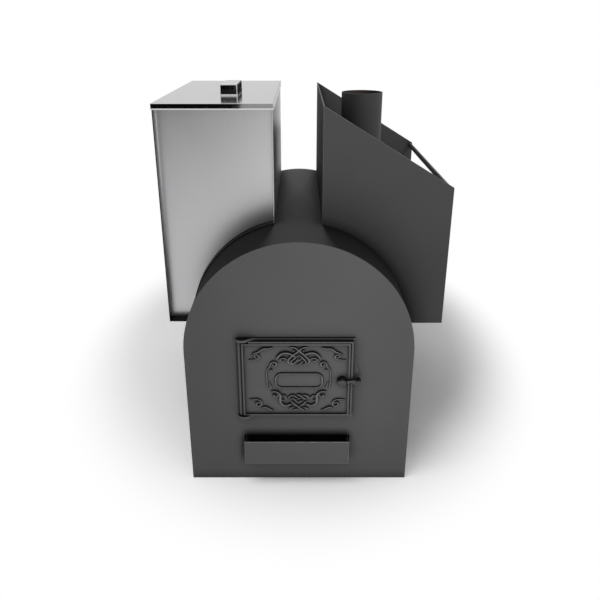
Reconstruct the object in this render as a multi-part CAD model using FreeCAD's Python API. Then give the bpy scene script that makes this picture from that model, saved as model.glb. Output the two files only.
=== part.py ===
import FreeCAD, Part
import math
import os

from FreeCAD import Vector

# Sauna stove: an arched steel firebox with a water tank on its left shoulder
# and an open stone hopper with the flue on its right shoulder.
# Millimetres, +Z up, the front faces -Y.
# The origin is the middle of the firebox's footprint on the floor.

# Firebox
body_width = 570.0
body_depth = 820.0
spring_height = 380.0
shell_sheet = 5.0
front_sheet = 6.0

# Water tank
tank_overhang = 65.0
tank_inner_gap = 62.0
tank_setback = 172.0
tank_sheet = 2.0
tank_recess = 30.0
shoulder_rise = 5.0
outlet_diameter = 33.0
outlet_bore = 24.1
outlet_length = 30.0
outlet_rise = 34.0
bracket_depth = 46.0
bracket_inset_front = 180.0
bracket_inset_back = 90.0

# Lid and grip
stove_height = 954.0
lid_skirt = 14.5
grip_width = 47.0
grip_length = 144.0
grip_height = 28.0
grip_offset_x = 23.0
grip_offset_y = -79.0

# Stone hopper
hopper_overhang = 100.0
hopper_inner_gap = 59.0
hopper_setback = 162.0
hopper_outer_height = 754.0
hopper_sheet = 4.0
strip_height = 15.0
strip_sheet = 5.0
strip_inset = 5.0
strip_count = 4

# Flue
flue_diameter = 115.0
flue_wall = 3.0
flue_inset = 107.0
rim_drop = 4.0

# Fire door
frame_width = 289.0
frame_height = 230.0
frame_sill = 194.0
frame_shift = -6.0
flange_sheet = 6.0
rim_depth = 17.0
rim_bar = 4.0
rim_inset = 5.0
leaf_rise = 15.0
leaf_thickness = 5.0
bead_height = 5.7
bead_width = 4.0
hinge_pin_diameter = 4.5
barrel_diameter = 8.0
ear_thickness = 6.5
ear_width = 31.0
ear_back = 7.5
ear_side = 5.0
ear_bow = 8.0
ear_shoulder = 19.0
throat_wall = 4.5
throat_depth = 24.0
throat_inset_hinge = 22.0
throat_inset_latch = 16.0
throat_inset_z = 14.0
stud_diameter = 8.0
stud_reach = 14.0
stud_inset_x = 9.0
stud_inset_z = 24.0
nut_across = 13.0
nut_height = 6.5
shield_inset = 13.5
shield_standoff = 8.0
shield_sheet = 3.0
rivet_diameter = 6.0
rivet_head = 11.0
rivet_head_height = 3.0
rivet_inset = 30.0

# Latch
latch_inset = 19.0
latch_boss_diameter = 24.6
latch_boss_thickness = 14.5
latch_reach = 39.8
latch_rise = 5.5
knob_diameter = 13.0
knob_length = 13.5
spindle_diameter = 10.0
latch_drop = 1.6
arm_depth = 8.0
arm_width = 5.5
arm_taper = 1.6
keeper_low = 19.0
keeper_tip = 26.0
keeper_high = 69.0
keeper_margin = 3.0

# Ash drawer and grate
drawer_width = 270.0
drawer_height = 69.0
drawer_lift = 67.5
drawer_shift = -5.5
drawer_reach = 30.0
drawer_length = 500.0
drawer_sheet = 2.0
grate_width = 206.0
grate_length = 306.0
grate_bar = 11.0
grate_slot = 11.0
grate_lip = 10.0
grate_rim = 8.0
grate_drop = 3.0
deck_clear = 12.0

# Clearances
weld_gap = 0.3
seat_gap = 0.3
slide_gap = 2.0
leaf_gap = 3.0
head_gap = 2.0
ear_gap = 1.0
pin_fit = 0.1
stud_clearance = 0.4
boss_gap = 0.5
lid_gap = 0.6

# Positions derived from the sizes above
radius = body_width / 2
y_front = -body_depth / 2
y_back = body_depth / 2
y_inside = y_front + front_sheet
y_rear = y_back - shell_sheet
crown = spring_height + radius
shoulder = spring_height + shoulder_rise
x_wall = radius - shell_sheet

tank_x1 = -tank_inner_gap
tank_x0 = -radius - tank_overhang
tank_y0 = y_front + tank_setback
lid_reach = tank_sheet + lid_gap
lid_under = stove_height - tank_sheet
tank_rim = lid_under - seat_gap
saddle_radius = radius + weld_gap
saddle_top = saddle_radius + tank_sheet

hopper_x0 = hopper_inner_gap
hopper_x1 = radius + hopper_overhang
hopper_y0 = y_front + hopper_setback
hopper_top = stove_height - rim_drop

flue_radius = flue_diameter / 2
flue_x = radius - flue_inset
flue_y = (hopper_y0 + y_back) / 2

frame_x0 = frame_shift - frame_width / 2
frame_x1 = frame_shift + frame_width / 2
frame_top = frame_sill + frame_height
y_flange = y_front - flange_sheet
y_rim = y_front - rim_depth
rim_z1 = frame_top - rim_inset
rim_x1 = frame_x1 - rim_inset
leaf_z0 = frame_sill + leaf_rise
leaf_z1 = rim_z1 - rim_bar - head_gap
ear_low = leaf_z0 - ear_gap - ear_thickness
ear_high = rim_z1
leaf_x1 = rim_x1 - rim_bar - leaf_gap
hinge_x = frame_x0 + barrel_diameter / 2
leaf_x0 = hinge_x + barrel_diameter * 0.75
y_leaf_back = y_flange - seat_gap
y_leaf = y_leaf_back - leaf_thickness
y_bead = y_leaf - bead_height
hinge_y = y_flange - barrel_diameter / 2 - 2 * seat_gap
hinge_pin_radius = hinge_pin_diameter / 2
ear_x0 = hinge_x - ear_back
ear_x1 = ear_x0 + ear_width
throat_x0 = leaf_x0 + throat_inset_hinge
throat_x1 = leaf_x1 - throat_inset_latch
throat_z0 = leaf_z0 + throat_inset_z
throat_z1 = leaf_z1 - throat_inset_z
stud_radius = stud_diameter / 2
rivet_radius = rivet_diameter / 2

latch_x = leaf_x1 - latch_inset
latch_z = (leaf_z0 + leaf_z1) / 2 - latch_drop
y_boss = y_bead - boss_gap
y_hub = y_leaf - seat_gap
y_cap = y_hub - latch_boss_thickness
y_arm = y_boss - arm_depth / 2
knob_x = latch_x + latch_reach
knob_z = latch_z + latch_rise
knob_radius = knob_diameter / 2
y_nose = y_boss - knob_length + knob_radius
spindle_radius = spindle_diameter / 2
arm_half = arm_width / 2

drawer_x0 = drawer_shift - drawer_width / 2
drawer_x1 = drawer_shift + drawer_width / 2
drawer_top = drawer_lift + drawer_height
drawer_y0 = y_front - drawer_reach
slot_top = drawer_top + slide_gap
ash_floor_top = drawer_lift - seat_gap
deck_z = slot_top + deck_clear
deck_top = deck_z + shell_sheet
grate_y = y_inside + drawer_length / 2 - drawer_reach

bar_side = 20.0
baffle_z = spring_height + radius * 0.39
baffle_half = radius * 0.79
baffle_bar_x = radius * 0.63
baffle_y0 = y_inside + body_depth * 0.25


def box(x0, x1, y0, y1, z0, z1):
    """Upright block between two corners."""
    return Part.makeBox(x1 - x0, y1 - y0, z1 - z0, Vector(x0, y0, z0))


def rod(r, length, x, y, z, axis):
    """Round bar that starts at a point and runs along an axis."""
    return Part.makeCylinder(r, length, Vector(x, y, z), axis)


def prism(points, y0, y1):
    """Flat outline in X and Z, drawn out from y0 to y1."""
    corners = [Vector(x, y0, z) for x, z in points]
    face = Part.Face(Part.makePolygon(corners + corners[:1]))
    return face.extrude(Vector(0, y1 - y0, 0))


def arch_log(r, y0, y1):
    """Round log along Y, centred on the arch's spring line."""
    return rod(r, y1 - y0, 0, y0, spring_height, Vector(0, 1, 0))


def arch_slab(r, y0, y1):
    """Arch-topped slab that stands on the floor."""
    legs = box(-r, r, y0, y1, 0, spring_height)
    return legs.fuse(arch_log(r, y0, y1)).removeSplitter()


def plate_blank(y0, y1):
    """End plate of the firebox with the outer arch outline."""
    above_floor = box(-radius, radius, y0, y1, 0, crown)
    return arch_slab(radius, y0, y1).common(above_floor)


def stud_places():
    """Centres of the four frame studs in X and Z."""
    x0 = throat_x0 - stud_inset_x
    x1 = throat_x1 + stud_inset_x
    z0 = throat_z0 + stud_inset_z
    z1 = throat_z1 - stud_inset_z
    return [(x, z) for x in (x0, x1) for z in (z0, z1)]


def joined(shapes):
    """One group of separate solids."""
    return Part.makeCompound(shapes)


def side_plate(side):
    """Flat side wall of the firebox, on the left (-1) or the right (+1)."""
    x0, x1 = sorted((side * x_wall, side * radius))
    return box(x0, x1, y_inside, y_rear, 0, spring_height)


def arch_roof():
    """Rolled half-round roof with the flue hole."""
    ring = arch_log(radius, y_inside, y_rear).cut(arch_log(x_wall, y_inside, y_rear))
    roof = ring.common(box(-radius, radius, y_inside, y_rear, spring_height, crown))
    hole = rod(flue_radius + weld_gap, crown, flue_x, flue_y, spring_height, Vector(0, 0, 1))
    return roof.cut(hole)


def front_plate():
    """Front plate with the fire opening, the stud holes and the drawer slot."""
    plate = plate_blank(y_front, y_inside)
    fire = box(
        throat_x0 - slide_gap,
        throat_x1 + slide_gap,
        y_front,
        y_inside,
        throat_z0 - slide_gap,
        throat_z1 + slide_gap,
    )
    slot = box(
        drawer_x0 - slide_gap,
        drawer_x1 + slide_gap,
        y_front,
        y_inside,
        ash_floor_top,
        slot_top,
    )
    plate = plate.cut(fire).cut(slot)
    for x, z in stud_places():
        plate = plate.cut(rod(stud_radius + stud_clearance, front_sheet, x, y_front, z, Vector(0, 1, 0)))
    return plate


def back_plate():
    """Plain back plate."""
    return plate_blank(y_rear, y_back)


def base_plate():
    """Bottom plate that rests on the floor."""
    return box(-x_wall, x_wall, y_inside, y_rear, 0, shell_sheet)


def ash_floor():
    """Raised floor that the ash drawer slides on."""
    return box(-x_wall, x_wall, y_inside, y_rear, ash_floor_top - shell_sheet, ash_floor_top)


def drawer_guide(side):
    """Flat bar that keeps the ash drawer straight, left (-1) or right (+1)."""
    near = drawer_shift + side * (drawer_width / 2 - drawer_sheet + slide_gap / 2)
    x0, x1 = sorted((near, near + side * bar_side))
    return box(x0, x1, y_inside, y_inside + drawer_length, ash_floor_top, ash_floor_top + bar_side)


def grate_deck():
    """Firebox floor with the grate opening."""
    deck = box(-x_wall, x_wall, y_inside, y_rear, deck_z, deck_top)
    half_x = grate_width / 2 - grate_lip + slide_gap
    half_y = grate_length / 2 - grate_lip + slide_gap
    return deck.cut(box(-half_x, half_x, grate_y - half_y, grate_y + half_y, deck_z, deck_top))


def grate():
    """Cast grate whose rim hangs on the deck."""
    half_x = grate_width / 2
    half_y = grate_length / 2
    rim = box(-half_x, half_x, grate_y - half_y, grate_y + half_y, deck_top, deck_top + grate_rim)
    body_x = half_x - grate_lip
    body_y = half_y - grate_lip
    body = box(-body_x, body_x, grate_y - body_y, grate_y + body_y, deck_z - grate_drop, deck_top)
    block = rim.fuse(body).removeSplitter()
    pitch = grate_bar + grate_slot
    count = int((2 * body_x - grate_bar) / pitch)
    first = -pitch * (count - 1) / 2
    for i in range(count):
        x = first + i * pitch
        for side in (-1, 1):
            y0, y1 = sorted((side * grate_bar / 2, side * (body_y - grate_bar)))
            slot = box(
                x - grate_slot / 2,
                x + grate_slot / 2,
                grate_y + y0,
                grate_y + y1,
                deck_z - grate_drop,
                deck_top + grate_rim,
            )
            block = block.cut(slot)
    return block


def baffle_bar(side):
    """Square bar from front plate to back plate that carries the flame baffle."""
    x = side * baffle_bar_x
    half = bar_side / 2
    return box(x - half, x + half, y_inside, y_rear, baffle_z - bar_side, baffle_z)


def flame_baffle():
    """Loose plate that turns the flames forward below the flue."""
    return box(-baffle_half, baffle_half, baffle_y0, y_rear, baffle_z, baffle_z + front_sheet)


def flue_pipe():
    """Flue stub cut to the inside of the roof."""
    tube_top = hopper_top - spring_height
    outer = rod(flue_radius, tube_top, flue_x, flue_y, spring_height, Vector(0, 0, 1))
    bore = rod(flue_radius - flue_wall, tube_top, flue_x, flue_y, spring_height, Vector(0, 0, 1))
    return outer.cut(bore).cut(arch_log(x_wall, y_front, y_back))


def hinge_ear(z0):
    """Ear that holds one end of the hinge pin, bowed in front and sloped on its right."""
    y_side = hinge_y - ear_side
    left = Vector(ear_x0, y_side, z0)
    right = Vector(ear_x1, y_side, z0)
    bow = Vector((ear_x0 + ear_x1) / 2, y_side - ear_bow, z0)
    foot = [right, Vector(ear_x1 + ear_shoulder, y_flange, z0), Vector(ear_x0, y_flange, z0), left]
    edges = [Part.Arc(left, bow, right).toShape()]
    edges = edges + [Part.makeLine(a, b) for a, b in zip(foot, foot[1:])]
    ear = Part.Face(Part.Wire(edges)).extrude(Vector(0, 0, ear_thickness))
    bore = rod(hinge_pin_radius + pin_fit / 2, ear_thickness, hinge_x, hinge_y, z0, Vector(0, 0, 1))
    return ear.cut(bore)


def frame_rim():
    """Raised bars along the head and the right side of the frame."""
    head = box(ear_x1, rim_x1, y_rim, y_flange, rim_z1 - rim_bar, rim_z1)
    post = box(rim_x1 - rim_bar, rim_x1, y_rim, y_flange, leaf_z0 - head_gap, rim_z1)
    return head.fuse(post)


def frame_throat():
    """Sleeve of the frame that passes through the front plate."""
    wall = throat_wall
    deep = y_inside + throat_depth
    outer = box(throat_x0, throat_x1, y_flange, deep, throat_z0, throat_z1)
    inner = box(throat_x0 + wall, throat_x1 - wall, y_flange, deep, throat_z0 + wall, throat_z1 - wall)
    return outer.cut(inner)


def door_frame():
    """Cast frame: flange, rim, throat and two hinge ears."""
    wall = throat_wall
    flange = box(frame_x0, frame_x1, y_flange, y_front, frame_sill, frame_top)
    flange = flange.cut(
        box(
            throat_x0 + wall,
            throat_x1 - wall,
            y_flange,
            y_front,
            throat_z0 + wall,
            throat_z1 - wall,
        )
    )
    frame = flange.fuse(frame_rim()).fuse(frame_throat())
    frame = frame.fuse(hinge_ear(ear_low)).fuse(hinge_ear(ear_high))
    frame = frame.removeSplitter()
    for x, z in stud_places():
        frame = frame.cut(rod(stud_radius, flange_sheet, x, y_flange, z, Vector(0, 1, 0)))
    return frame


def frame_studs():
    """Four studs that hold the frame to the front plate."""
    long = flange_sheet + front_sheet + stud_reach
    r = stud_radius - pin_fit
    return joined([rod(r, long, x, y_flange, z, Vector(0, 1, 0)) for x, z in stud_places()])


def hex_nut(x, z):
    """Hexagon nut against the inside of the front plate."""
    reach = nut_across / math.sqrt(3)
    ring = [math.radians(60 * k) for k in range(6)]
    points = [(x + reach * math.cos(a), z + reach * math.sin(a)) for a in ring]
    hole = rod(stud_radius, nut_height, x, y_inside, z, Vector(0, 1, 0))
    return prism(points, y_inside, y_inside + nut_height).cut(hole)


def frame_nuts():
    """Four nuts inside the firebox."""
    return joined([hex_nut(x, z) for x, z in stud_places()])


def hinge_pin():
    """Long pin through both ears and the door's barrel."""
    tall = ear_high + ear_thickness - ear_low
    return rod(hinge_pin_radius, tall, hinge_x, hinge_y, ear_low, Vector(0, 0, 1))


def leaf_barrel():
    """Barrel along the left edge of the leaf."""
    tall = ear_high - ear_gap - leaf_z0
    return rod(barrel_diameter / 2, tall, hinge_x, hinge_y, leaf_z0, Vector(0, 0, 1))


def leaf_bead():
    """Raised border around the leaf's front."""
    outer = box(leaf_x0, leaf_x1, y_bead, y_leaf, leaf_z0, leaf_z1)
    inner = box(
        leaf_x0 + bead_width,
        leaf_x1 - bead_width,
        y_bead,
        y_leaf,
        leaf_z0 + bead_width,
        leaf_z1 - bead_width,
    )
    return outer.cut(inner)


def fire_door():
    """Cast leaf with its barrel, border and spindle hole."""
    leaf = box(leaf_x0, leaf_x1, y_leaf, y_leaf_back, leaf_z0, leaf_z1)
    web = box(hinge_x, leaf_x0, hinge_y, hinge_y + barrel_diameter / 3, leaf_z0, leaf_z1)
    door = leaf.fuse(web).fuse(leaf_barrel()).fuse(leaf_bead()).removeSplitter()
    tall = ear_high - leaf_z0
    door = door.cut(rod(hinge_pin_radius + pin_fit, tall, hinge_x, hinge_y, leaf_z0, Vector(0, 0, 1)))
    r = spindle_radius + pin_fit
    return door.cut(rod(r, leaf_thickness, latch_x, y_leaf, latch_z, Vector(0, 1, 0)))


def shield_spots():
    """Centres of the four shield rivets in X and Z."""
    x0 = throat_x0 + rivet_inset
    x1 = throat_x1 - rivet_inset
    z0 = throat_z0 + rivet_inset
    z1 = throat_z1 - rivet_inset
    return [(x, z) for x in (x0, x1) for z in (z0, z1)]


def door_shield():
    """Heat shield behind the leaf, inside the frame's throat."""
    y0 = y_leaf_back + shield_standoff
    plate = box(
        throat_x0 + shield_inset,
        throat_x1 - shield_inset,
        y0,
        y0 + shield_sheet,
        throat_z0 + shield_inset,
        throat_z1 - shield_inset,
    )
    for x, z in shield_spots():
        plate = plate.cut(rod(rivet_radius, shield_sheet, x, y0, z, Vector(0, 1, 0)))
    return plate


def shield_rivets():
    """Four shouldered rivets that stand the shield off the leaf."""
    y0 = y_leaf_back
    y1 = y0 + shield_standoff + shield_sheet
    into = Vector(0, 1, 0)
    rivets = []
    for x, z in shield_spots():
        shank = rod(rivet_radius - pin_fit, y1 + rivet_head_height - y0, x, y0, z, into)
        spacer = rod(rivet_diameter, shield_standoff, x, y0, z, into)
        head = rod(rivet_head / 2, rivet_head_height, x, y1, z, into)
        rivets.append(shank.fuse(spacer).fuse(head).removeSplitter())
    return joined(rivets)


def arm_underside(x):
    """Height of the arm's lower edge at x."""
    root = latch_z - arm_taper * arm_half
    tip = knob_z - arm_half
    return root + (tip - root) * (x - latch_x) / latch_reach


def latch_arm():
    """Tapered arm from the rim of the boss to the knob, hollowed to take both."""
    points = [
        (latch_x, arm_underside(latch_x)),
        (knob_x, arm_underside(knob_x)),
        (knob_x, knob_z + arm_half),
        (latch_x, latch_z + arm_taper * arm_half),
    ]
    arm = prism(points, y_boss - arm_depth, y_boss)
    root = latch_boss_diameter / 2 + pin_fit / 2
    arm = arm.cut(rod(root, 2 * latch_boss_thickness, latch_x, y_leaf, latch_z, Vector(0, -1, 0)))
    seat = rod(knob_radius + pin_fit / 2, 2 * knob_length, knob_x, y_leaf, knob_z, Vector(0, -1, 0))
    return arm.cut(seat)


def latch_boss():
    """Round boss that stands on the leaf."""
    back = Vector(0, -1, 0)
    boss = rod(latch_boss_diameter / 2, latch_boss_thickness, latch_x, y_hub, latch_z, back)
    eye = rod(spindle_radius + pin_fit / 2, latch_boss_thickness, latch_x, y_hub, latch_z, back)
    return boss.cut(eye)


def latch_knob():
    """Round-nosed grip that stands forward from the end of the arm."""
    stem = rod(knob_radius, y_boss - y_nose, knob_x, y_nose, knob_z, Vector(0, 1, 0))
    return stem.fuse(Part.makeSphere(knob_radius, Vector(knob_x, y_nose, knob_z))).removeSplitter()


def latch_spindle():
    """Spindle that carries the boss through the leaf."""
    long = y_leaf_back - seat_gap - y_cap
    return rod(spindle_radius, long, latch_x, y_cap, latch_z, Vector(0, 1, 0))


def latch_keeper():
    """Tapered ear beside the frame, with the ledge that the arm rests on."""
    tip = knob_x + keeper_margin
    ear = prism(
        [
            (frame_x1, latch_z - keeper_low),
            (tip, latch_z - keeper_low + keeper_margin),
            (tip, latch_z - keeper_low + keeper_margin + keeper_tip),
            (frame_x1, latch_z + keeper_high),
        ],
        y_flange,
        y_front,
    )
    ledge_top = arm_underside(rim_x1) - seat_gap
    x1 = frame_x1 + rim_bar
    ledge = box(rim_x1, x1, y_arm, y_flange, ledge_top - ear_thickness, ledge_top)
    return ear.fuse(ledge).removeSplitter()


def ash_drawer_box():
    """Folded tray: floor, two sides and a back."""
    x0 = drawer_x0 + drawer_sheet
    x1 = drawer_x1 - drawer_sheet
    y0 = drawer_y0 + drawer_sheet
    y1 = drawer_y0 + drawer_length
    s = drawer_sheet
    outer = box(x0, x1, y0, y1, drawer_lift, drawer_top - s)
    return outer.cut(box(x0 + s, x1 - s, y0, y1 - s, drawer_lift + s, drawer_top))


def ash_drawer_front():
    """Flat front of the ash drawer."""
    return box(drawer_x0, drawer_x1, drawer_y0, drawer_y0 + drawer_sheet, drawer_lift, drawer_top)


def tank_wall(x0, x1):
    """Upright tank wall that ends on the saddle."""
    wall = box(x0, x1, tank_y0, y_back, shoulder, tank_rim)
    return wall.cut(arch_log(saddle_top + weld_gap, tank_y0, y_back))


def socket_place():
    """Centre of the outlet in Y and Z."""
    return (tank_y0 + y_back) / 2, shoulder + outlet_rise


def tank_outer_wall():
    """Left wall of the tank with the outlet hole."""
    y, z = socket_place()
    wall = tank_wall(tank_x0, tank_x0 + tank_sheet)
    return wall.cut(rod(outlet_diameter / 2 + weld_gap, tank_sheet, tank_x0, y, z, Vector(1, 0, 0)))


def tank_inner_wall():
    """Right wall of the tank, beside the gap between tank and hopper."""
    return tank_wall(tank_x1 - tank_sheet, tank_x1)


def tank_floor():
    """Narrow floor outboard of the firebox."""
    floor = box(tank_x0 + tank_sheet, 0, tank_y0, y_back, shoulder, shoulder + tank_sheet)
    return floor.cut(arch_log(saddle_top + weld_gap, tank_y0, y_back))


def tank_saddle():
    """Curved floor that sits on the roof."""
    ring = arch_log(saddle_top, tank_y0, y_back).cut(arch_log(saddle_radius, tank_y0, y_back))
    return ring.common(box(tank_x0, tank_x1, tank_y0, y_back, shoulder, crown + radius))


def tank_panel(y0):
    """End panel set back inside the tank's walls."""
    panel = box(
        tank_x0 + tank_sheet,
        tank_x1 - tank_sheet,
        y0,
        y0 + tank_sheet,
        shoulder + tank_sheet,
        tank_rim,
    )
    return panel.cut(arch_log(saddle_top + weld_gap, y0, y0 + tank_sheet))


def tank_outlet_socket():
    """Half coupling with a three-quarter inch pipe thread."""
    y, z = socket_place()
    x0 = tank_x0 + 2 * tank_sheet - outlet_length
    body = rod(outlet_diameter / 2, outlet_length, x0, y, z, Vector(1, 0, 0))
    return body.cut(rod(outlet_bore / 2, outlet_length, x0, y, z, Vector(1, 0, 0)))


def tank_bracket(y):
    """Gusset under the tank's overhang."""
    tip = tank_x0 + 2 * tank_sheet
    points = [(-radius, shoulder - bracket_depth), (-radius, shoulder), (tip, shoulder)]
    return prism(points, y - shell_sheet / 2, y + shell_sheet / 2)


def tank_lid():
    """Lift-off lid with a turned-down skirt."""
    x0 = tank_x0 - lid_reach
    x1 = tank_x1 + lid_reach
    y0 = tank_y0 - lid_reach
    y1 = y_back + lid_reach
    s = tank_sheet
    lid = box(x0, x1, y0, y1, stove_height - lid_skirt, stove_height)
    return lid.cut(box(x0 + s, x1 - s, y0 + s, y1 - s, stove_height - lid_skirt, lid_under))


def lid_grip():
    """Box-shaped grip folded from sheet, open below."""
    x = (tank_x0 + tank_x1) / 2 + grip_offset_x
    y = (tank_y0 + y_back) / 2 + grip_offset_y
    x0 = x - grip_width / 2
    x1 = x + grip_width / 2
    y0 = y - grip_length / 2
    y1 = y + grip_length / 2
    s = tank_sheet
    grip = box(x0, x1, y0, y1, stove_height, stove_height + grip_height)
    return grip.cut(box(x0 + s, x1 - s, y0 + s, y1 - s, stove_height, stove_height + grip_height - s))


def hopper_panel(y0):
    """End panel with the sloping top and the arch cut-out."""
    points = [
        (hopper_x0, shoulder),
        (hopper_x1, shoulder),
        (hopper_x1, hopper_outer_height),
        (hopper_x0, hopper_top),
    ]
    panel = prism(points, y0, y0 + hopper_sheet)
    return panel.cut(arch_log(radius + weld_gap, y0, y0 + hopper_sheet))


def hopper_inner_wall():
    """Full-height wall beside the gap between tank and hopper."""
    y0 = hopper_y0 + hopper_sheet
    y1 = y_back - hopper_sheet
    wall = box(hopper_x0, hopper_x0 + hopper_sheet, y0, y1, shoulder, hopper_top - hopper_sheet)
    return wall.cut(arch_log(radius + weld_gap, y0, y1))


def hopper_floor():
    """Narrow floor outboard of the firebox."""
    y0 = hopper_y0 + hopper_sheet
    y1 = y_back - hopper_sheet
    floor = box(0, hopper_x1, y0, y1, shoulder, shoulder + hopper_sheet)
    return floor.cut(arch_log(radius + weld_gap, y0, y1))


def side_strip(top):
    """Flat strip along the hopper's open side."""
    x1 = hopper_x1 - strip_inset
    y0 = hopper_y0 + hopper_sheet
    y1 = y_back - hopper_sheet
    return box(x1 - strip_sheet, x1, y0, y1, top - strip_height, top)


def hopper_side_strips():
    """Evenly spaced strips that hold the stones in."""
    low = shoulder + hopper_sheet
    pitch = (hopper_outer_height - low) / (strip_count + 1)
    return joined([side_strip(low + pitch * (i + 1)) for i in range(strip_count)])


def parts():
    """Every node of the stove by name."""
    return {
        "side_plate_left": side_plate(-1),
        "side_plate_right": side_plate(1),
        "arch_roof": arch_roof(),
        "front_plate": front_plate(),
        "back_plate": back_plate(),
        "base_plate": base_plate(),
        "ash_floor": ash_floor(),
        "drawer_guide_left": drawer_guide(-1),
        "drawer_guide_right": drawer_guide(1),
        "grate_deck": grate_deck(),
        "grate": grate(),
        "baffle_bar_left": baffle_bar(-1),
        "baffle_bar_right": baffle_bar(1),
        "flame_baffle": flame_baffle(),
        "flue_pipe": flue_pipe(),
        "door_frame": door_frame(),
        "frame_studs": frame_studs(),
        "frame_nuts": frame_nuts(),
        "hinge_pin": hinge_pin(),
        "latch_keeper": latch_keeper(),
        "fire_door": fire_door(),
        "door_shield": door_shield(),
        "shield_rivets": shield_rivets(),
        "latch_boss": latch_boss(),
        "latch_arm": latch_arm(),
        "latch_knob": latch_knob(),
        "latch_spindle": latch_spindle(),
        "ash_drawer_box": ash_drawer_box(),
        "ash_drawer_front": ash_drawer_front(),
        "tank_outer_wall": tank_outer_wall(),
        "tank_inner_wall": tank_inner_wall(),
        "tank_floor": tank_floor(),
        "tank_saddle": tank_saddle(),
        "tank_front_panel": tank_panel(tank_y0 + tank_recess),
        "tank_back_panel": tank_panel(y_back - tank_recess - tank_sheet),
        "tank_outlet_socket": tank_outlet_socket(),
        "tank_bracket_front": tank_bracket(tank_y0 + bracket_inset_front),
        "tank_bracket_back": tank_bracket(y_back - bracket_inset_back),
        "tank_lid": tank_lid(),
        "lid_grip": lid_grip(),
        "hopper_front": hopper_panel(hopper_y0),
        "hopper_back": hopper_panel(y_back - hopper_sheet),
        "hopper_inner_wall": hopper_inner_wall(),
        "hopper_floor": hopper_floor(),
        "hopper_top_rail": side_strip(hopper_outer_height),
        "hopper_side_strips": hopper_side_strips(),
    }


os.makedirs("parts", exist_ok=True)
for node, shape in parts().items():
    shape.exportStep("parts/%s.step" % node)
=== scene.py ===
"""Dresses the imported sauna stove: rounded edges, door relief, finishes and a plain studio."""

import logging
import math
from collections.abc import Callable, Iterator, Sequence
from dataclasses import dataclass, replace
from enum import Enum

import bmesh
import bpy
from mathutils import Matrix, Vector


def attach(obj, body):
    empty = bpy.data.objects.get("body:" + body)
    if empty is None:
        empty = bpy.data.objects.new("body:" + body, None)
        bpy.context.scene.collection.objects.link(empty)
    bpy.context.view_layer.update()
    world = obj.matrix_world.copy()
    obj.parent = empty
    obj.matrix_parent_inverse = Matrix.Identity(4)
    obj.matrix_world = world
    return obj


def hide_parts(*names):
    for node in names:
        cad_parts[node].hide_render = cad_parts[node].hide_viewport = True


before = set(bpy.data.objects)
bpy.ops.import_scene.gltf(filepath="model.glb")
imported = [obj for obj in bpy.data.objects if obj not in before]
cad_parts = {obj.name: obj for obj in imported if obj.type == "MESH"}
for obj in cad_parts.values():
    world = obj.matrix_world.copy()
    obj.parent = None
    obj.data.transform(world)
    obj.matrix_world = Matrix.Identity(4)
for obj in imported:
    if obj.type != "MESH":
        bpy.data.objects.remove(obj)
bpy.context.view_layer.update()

LOG = logging.getLogger("sauna_stove")
MM = 0.001
NOUGHT = (0.0, 0.0, 0.0)
# Bend from which an edge is rounded, and bend from which it is shaded as a crease.
SHARP = math.radians(28.0)
CREASE_DEG = 50.0
# Corners nearer than this are one, and faces that bend less than this are one.
WELD = 0.002 * MM
FLAT = math.radians(0.4)
# Face attribute that marks faces for the finishes' edge tone: rubbed or sheared edges, and also
# painted light, a dark reflection on satin stainless and a highlight on the relief's crests.
WEAR_AND_PAINTED_LIGHT = "edge_wear_and_painted_light"

Plane = tuple[float, float]
Spot = tuple[float, float, float]
Hub = Callable[[Vector], Vector]
Tree = bpy.types.NodeTree
Socket = bpy.types.NodeSocket
Piece = bpy.types.Object
Mesh = bmesh.types.BMesh


class Slot(Enum):
    """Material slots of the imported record."""

    HEAT_PAINT = "heat_paint"
    CAST_IRON = "cast_iron"
    STAINLESS = "stainless"
    BRIGHT_STEEL = "bright_steel"


def linear(hex_colour: str) -> tuple[float, float, float, float]:
    """Turns an sRGB hex value into a linear colour.

    Args:
        hex_colour: Colour as #rrggbb.

    Returns:
        Red, green, blue and a full alpha.
    """
    parts = [int(hex_colour[i:i + 2], 16) / 255 for i in (1, 3, 5)]
    red, green, blue = (p / 12.92 if p <= 0.04045 else ((p + 0.055) / 1.055) ** 2.4 for p in parts)
    return red, green, blue, 1.0


def per_mm(size: float) -> float:
    """Pattern scale, in repeats per metre, for a feature of this many millimetres."""
    return 1.0 / (size * MM)


def add(
    tree: Tree,
    kind: str,
    settings: dict[str | int, object] | None = None,
    links: dict[str | int, Socket] | None = None,
) -> bpy.types.Node:
    """Adds one shader node with its settings and links.

    Args:
        tree: Node tree that takes the node.
        kind: Node type without its ShaderNode prefix.
        settings: Properties by name, or input values by socket name or number.
        links: Output sockets that feed the inputs, by socket name or number.

    Returns:
        The new node.
    """
    made = tree.nodes.new(f"ShaderNode{kind}")
    for key, value in (settings or {}).items():
        if isinstance(key, str) and hasattr(made, key):
            setattr(made, key, value)
        else:
            made.inputs[key].default_value = value
    for key, socket in (links or {}).items():
        tree.links.new(socket, made.inputs[key])
    return made


def blank_material(name: str) -> tuple[bpy.types.Material, Tree]:
    """Makes an empty node material.

    Args:
        name: Name of the real material and finish.

    Returns:
        The material and its node tree.
    """
    material = bpy.data.materials.new(name)
    material.use_nodes = True
    material.node_tree.nodes.clear()
    return material, material.node_tree


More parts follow.
